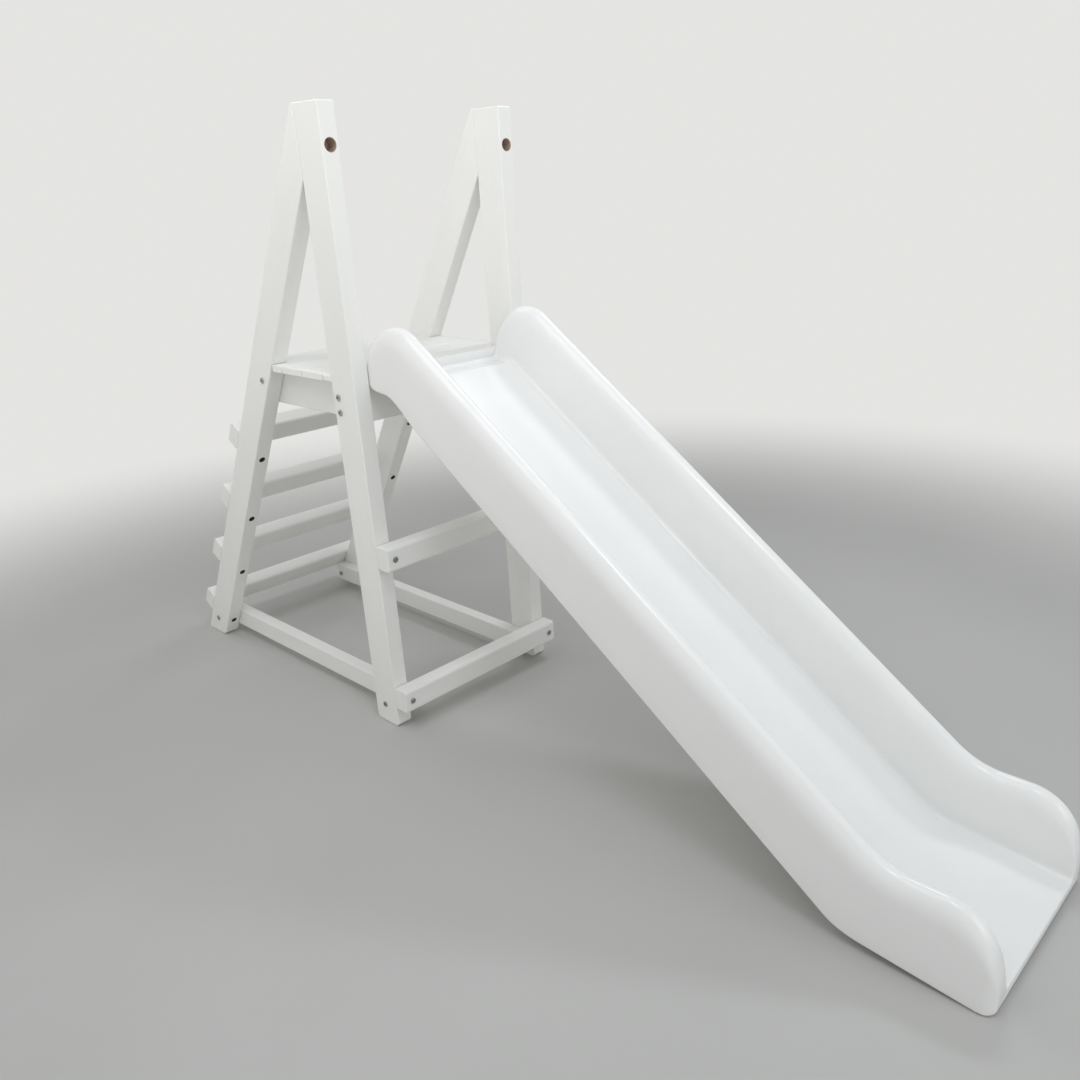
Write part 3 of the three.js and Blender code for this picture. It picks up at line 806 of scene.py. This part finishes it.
def wall_crown(bed, up, height, steps=26):
    """The rolled top of the left wall, from its inner side to its outer side."""
    points = []
    for i in range(steps + 1):
        angle = i / steps * math.pi
        crown = CHUTE["crown_inner" if angle < math.pi / 2 else "crown_outer"]
        crown = crown * math.tanh(height * 0.5 / crown)
        point = bed + up * (height - crown + crown * math.sin(angle))
        points.append((CHUTE_MIDDLE - CHUTE["crest_half"] * math.cos(angle), point, 0.0))
    return points


def straight(start, end, parts):
    """The points that divide the way from start to end into equal parts."""
    points = []
    for k in range(1, parts):
        t = k / parts
        points.append((start[0] + (end[0] - start[0]) * t, start[1].lerp(end[1], t), 0.0))
    return points


def rim_and_underside(skirt, skirt_up, rim_steps=6, under_steps=30):
    """From the foot of the left wall's outer side to the middle of the underside."""
    outer, rim = CHUTE["half_width"], CHUTE["rim"]
    points = []
    for i in range(rim_steps + 1):
        angle = i / rim_steps * math.pi / 2
        point = skirt + skirt_up * (rim - rim * math.sin(angle))
        points.append((outer - rim + rim * math.cos(angle), point, 0.0))
    for i in range(1, under_steps + 1):
        y = (outer - rim) * (1 - i / under_steps)
        points.append((y, skirt + skirt_up * underside_pocket(skirt.x, y), 0.0))
    return points


def round_ends(y, p, crest, height):
    """Draws a section point in where the chute's rear and exit corners are rounded."""
    pull = drawn_in(CHUTE["corner_exit"], CHUTE["exit"] - p.x)
    pull = pull + drawn_in(CHUTE["corner_rear"], p.x - CHUTE["rear"])
    if abs(y) > CHUTE_INNER:
        low_down = step(crest.y - p.y, 0.75 * height, height)
        p = p + Vector((0, drawn_in(CHUTE["corner_foot"], p.x - CHUTE["rear"]) * low_down))
    if abs(y) > CHUTE_MIDDLE:
        beyond = (abs(y) - CHUTE_MIDDLE) * (1 - pull / CHUTE["crest_half"])
        y = math.copysign(CHUTE_MIDDLE + beyond, y)
    return y, p


def chute_section(crest, bed, skirt):
    """One closed section: from the middle of the bed over the left wall, under the chute and over
    the right wall. Each entry is (point in metres, how much it belongs to the bed)."""
    crest, bed, skirt = Vector(crest), Vector(bed), Vector(skirt)
    up = (crest - bed).normalized()
    skirt_up = (crest - skirt).normalized()
    bare_height = (crest - bed).length
    lip = CHUTE["rear_lip"] * (1 - step(bed.x, CHUTE["rear"], CHUTE["rear"] + 16))
    bed = bed + up * lip
    height = (crest - bed).length  # above the raised rear lip
    floor = bed_and_fillet(bed, up, bare_height)
    crown = wall_crown(bed, up, height)
    under = rim_and_underside(skirt, skirt_up)
    half = floor + straight(floor[-1], crown[0], 5) + crown + straight(crown[-1], under[0], 6) + under
    mirrored = [(-y, p, belongs) for y, p, belongs in reversed(half[1:-1])]
    section = []
    for y, p, belongs in half + mirrored:
        y, p = round_ends(y, p, crest, height)
        section.append((Vector((FRONT_X + mm(p.x), mm(y), mm(p.y))), belongs))
    return section


def chute_shell():
    sections = []
    for number, (steps, crest, bed, skirt) in enumerate(chute_spans()):
        for i in range(0 if number == 0 else 1, steps + 1):
            t = i / steps
            sections.append(chute_section(crest(t), bed(t), skirt(t)))
    count = len(sections[0])
    points = [point for section in sections for point, _ in section]
    belongs = [value for section in sections for _, value in section]
    faces = []
    for i in range(len(sections) - 1):
        for j in range(count):
            k = (j + 1) % count
            faces.append((i * count + j, (i + 1) * count + j, (i + 1) * count + k, i * count + k))
    last = (len(sections) - 1) * count
    faces.append(tuple(range(count)))
    faces.append(tuple(reversed(range(last, last + count))))
    mesh = bpy.data.meshes.new("slide_chute_piece")
    mesh.from_pydata(points, [], faces)
    mesh.attributes.new("bed", "FLOAT", "POINT").data.foreach_set("value", belongs)
    mesh.validate()
    outward = bmesh.new()
    outward.from_mesh(mesh)
    bmesh.ops.recalc_face_normals(outward, faces=outward.faces)
    outward.to_mesh(mesh)
    outward.free()
    return mesh


def make_chute():
    piece = new_object("slide_chute_piece", chute_shell())
    piece.data.materials.append(MOULDED)
    rear_x = low("slide_chute").x

    def build_flange(bm):
        bmesh.ops.create_cube(bm, size=1.0)
        size = Vector((FLANGE["thickness"], 2 * FLANGE["half_width"], FLANGE["top"] - FLANGE["bottom"]))
        middle = Vector((rear_x + FLANGE["thickness"] / 2, 0, (FLANGE["top"] + FLANGE["bottom"]) / 2))
        for vert in bm.verts:
            vert.co = Vector(a * b for a, b in zip(vert.co, size)) + middle
        lower = [e for e in bm.edges
                 if abs(e.verts[0].co.x - e.verts[1].co.x) > mm(5) and e.verts[0].co.z < middle.z]
        bmesh.ops.bevel(bm, geom=lower, offset=FLANGE["corner"], segments=8, profile=0.5,
                        affect="EDGES")

    def build_drains(bm):
        radius, depth = DRAIN["radius"], DRAIN["depth"]
        for sign in (-1, 1):
            start = Vector((FRONT_X + DRAIN["x"], sign * DRAIN["y"], DRAIN["bottom"]))
            add_revolved(bm, [(0, 0), (radius, 0), (radius, depth), (0, depth)], start, Z_AXIS, 24)

    boolean(piece, new_object("flange", mesh_from("flange", build_flange)), "UNION")
    boolean(piece, new_object("drains", mesh_from("drains", build_drains)), "DIFFERENCE")
    drill(piece, "slide_chute")
    smooth(piece.data, 38)
    finish_piece(piece, "slide_chute", [MOULDED])


# ---- floor, light and camera ----

def make_floor():
    """A large pale floor that fades into the backdrop far from the object."""
    def build(bm):
        bmesh.ops.create_grid(bm, x_segments=8, y_segments=8, size=14.0)

    floor = new_object("floor", mesh_from("floor", build))
    floor.location.z = -mm(0.5)
    s = Shader("pale_floor")
    place = s.object_place()
    cloud = s.noise(place, 1.5, 3.0, 0.5)
    fine = s.noise(place, 300.0, 2.0, 0.5)
    tone = s.mix(s.remap(cloud, 0.3, 0.7, 0.0, 1.0), rgb(FLOOR), rgb(FLOOR_TINT))
    s.set(Base_Color=tone, Roughness=0.8, Normal=s.bump(fine, mm(0.05), 0.2))
    s.principled.inputs["Specular IOR Level"].default_value = 0.2
    distance = s.node("ShaderNodeVectorMath", {0: place}, operation="LENGTH").outputs["Value"]
    far = s.smooth_remap(distance, *FLOOR_FADE)
    haze = s.node("ShaderNodeEmission", {"Color": rgb(BACKDROP), "Strength": BACKDROP_STRENGTH})
    faded = s.node("ShaderNodeMixShader", {0: far})
    s.link(s.principled, "BSDF", faded, 1)
    s.link(haze, "Emission", faded, 2)
    s.link(faded, "Shader", s.output, "Surface")
    floor.data.materials.append(s.material)


def area_light(name, place, target, size, power, colour):
    data = bpy.data.lights.new(name, "AREA")
    data.shape = "RECTANGLE"
    data.size, data.size_y = size
    data.energy = power
    data.color = colour
    lamp = new_object(name, data)
    lamp.location = place
    lamp.rotation_euler = (Vector(target) - Vector(place)).to_track_quat("-Z", "Y").to_euler()


def make_world():
    """A pale glow up from the horizon, which fades out overhead."""
    world = bpy.data.worlds.new("studio")
    bpy.context.scene.world = world
    world.use_nodes = True
    tree = world.node_tree
    direction = tree.nodes.new("ShaderNodeTexCoord")
    upward = tree.nodes.new("ShaderNodeSeparateXYZ")
    glow = tree.nodes.new("ShaderNodeMapRange")
    glow.inputs["From Min"].default_value, glow.inputs["From Max"].default_value = GLOW_HEIGHT
    glow.inputs["To Min"].default_value = BACKDROP_STRENGTH
    glow.inputs["To Max"].default_value = 0.0
    background = tree.nodes["Background"]
    background.inputs["Color"].default_value = rgb(BACKDROP)
    tree.links.new(direction.outputs["Generated"], upward.inputs[0])
    tree.links.new(upward.outputs["Z"], glow.inputs["Value"])
    tree.links.new(glow.outputs[0], background.inputs["Strength"])


def make_light():
    """The world's glow, wide soft daylight from above and soft panels."""
    make_world()
    overhead = bpy.data.lights.new("overhead", "SUN")
    overhead.angle = math.radians(110)
    overhead.energy = 0.74
    overhead.color = (0.93, 0.97, 1.0)
    new_object("overhead", overhead)
    for name, settings in PANELS.items():
        area_light(name, *settings)


def make_camera():
    """The photographer stood in front of the exit, to its right, and looked down a little."""
    pan, tilt, roll = (math.radians(CAMERA[turn]) for turn in ("pan", "tilt", "roll"))
    ahead = Vector((math.cos(tilt) * math.cos(pan), math.cos(tilt) * math.sin(pan), math.sin(tilt)))
    level = Vector((math.sin(pan), -math.cos(pan), 0))
    over = level.cross(ahead)
    right = level * math.cos(roll) + over * math.sin(roll)
    above = over * math.cos(roll) - level * math.sin(roll)
    data = bpy.data.cameras.new("camera")
    data.sensor_width = 36
    data.lens = CAMERA["lens"]
    data.shift_x = CAMERA["shift_x"]
    data.shift_y = CAMERA["shift_y"]
    camera = new_object("camera", data)
    turn = Matrix((right, above, -ahead)).transposed().to_4x4()
    camera.matrix_world = Matrix.Translation(Vector(CAMERA["place"])) @ turn
    bpy.context.scene.camera = camera


def set_view_transform():
    scene = bpy.context.scene
    scene.view_settings.view_transform = "Standard"
    scene.view_settings.look = "None"


place_bolts()
make_timbers()
make_chute()
make_fasteners()
make_floor()
make_light()
make_camera()
set_view_transform()
